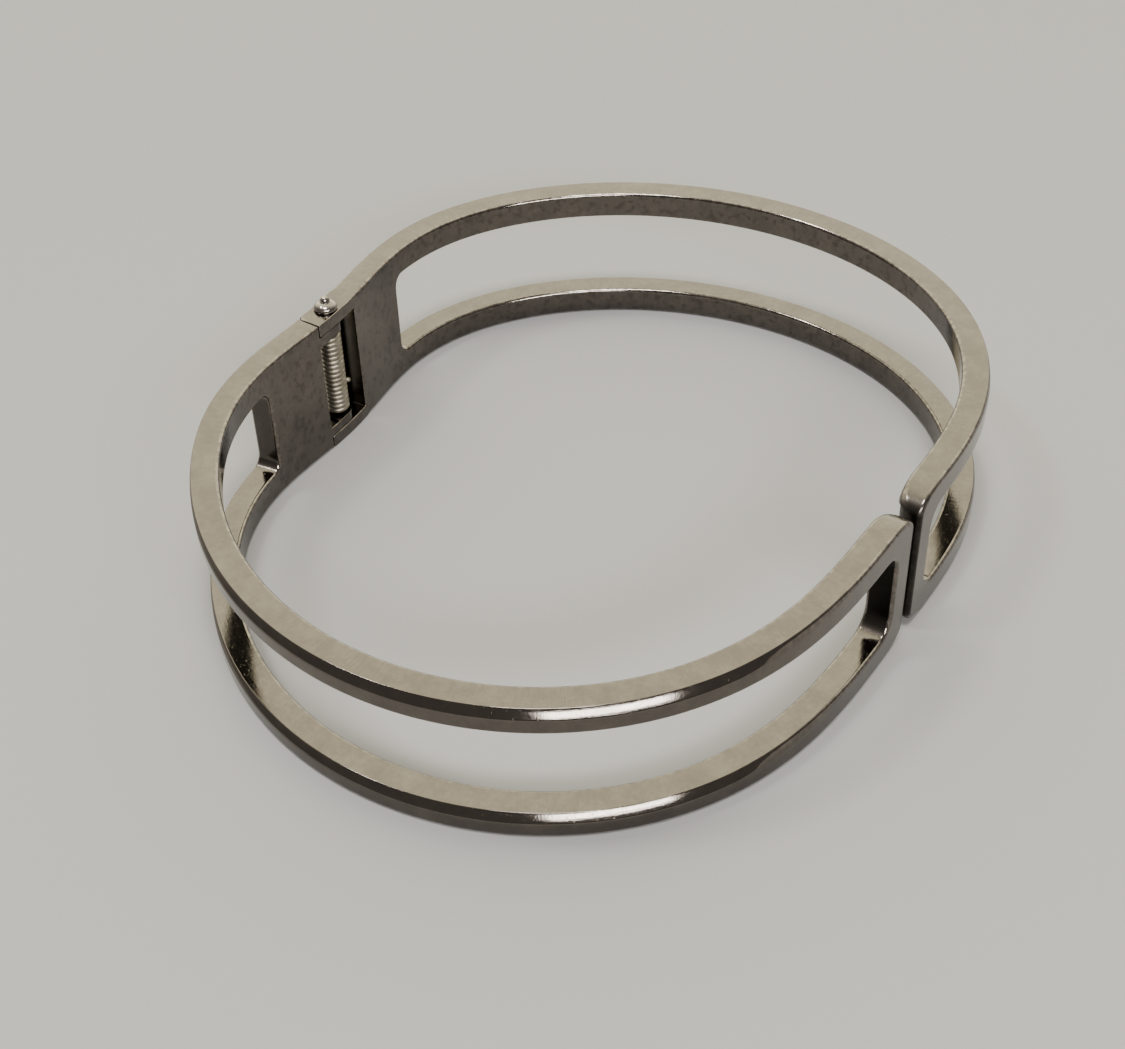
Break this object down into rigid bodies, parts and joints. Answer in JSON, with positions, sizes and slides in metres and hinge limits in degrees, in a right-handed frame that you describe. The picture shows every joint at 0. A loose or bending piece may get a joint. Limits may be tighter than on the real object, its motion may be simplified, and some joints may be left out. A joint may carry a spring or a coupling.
{
  "type": "bangle bracelet",
  "caption": "Spring-hinged oval openwork bangle of two half hoops that meet at a plain rounded opening.",
  "frame": {"origin": "centre of the outline at the face that the bangle rests on", "axes": "+Z along the hinge pin, +X from the hinge to the opening, +Y to the back half"},
  "size_m": [0.0524, 0.064, 0.0132],
  "materials": {
    "dark_plating": "polished dark nickel plating",
    "pin_steel": "polished dark nickel plating",
    "spring_wire": "drawn spring wire"
  },
  "bodies": {
    "back_body": {"back_half": "dark_plating", "hinge_pin": "pin_steel", "hinge_spring": "spring_wire"},
    "front_body": {"front_half": "dark_plating"}
  },
  "joints": [
    {"name": "hinge", "type": "hinge", "parent": "back_body", "child": "front_body", "pos_m": [-0.02432, -0.00005, 0.006], "axis": [0, 0, -1], "range_deg": [0, 48], "stiffness_Nm_per_rad": 0.02, "springref_deg": -28.65, "deforming": ["hinge_spring"]}
  ]
}
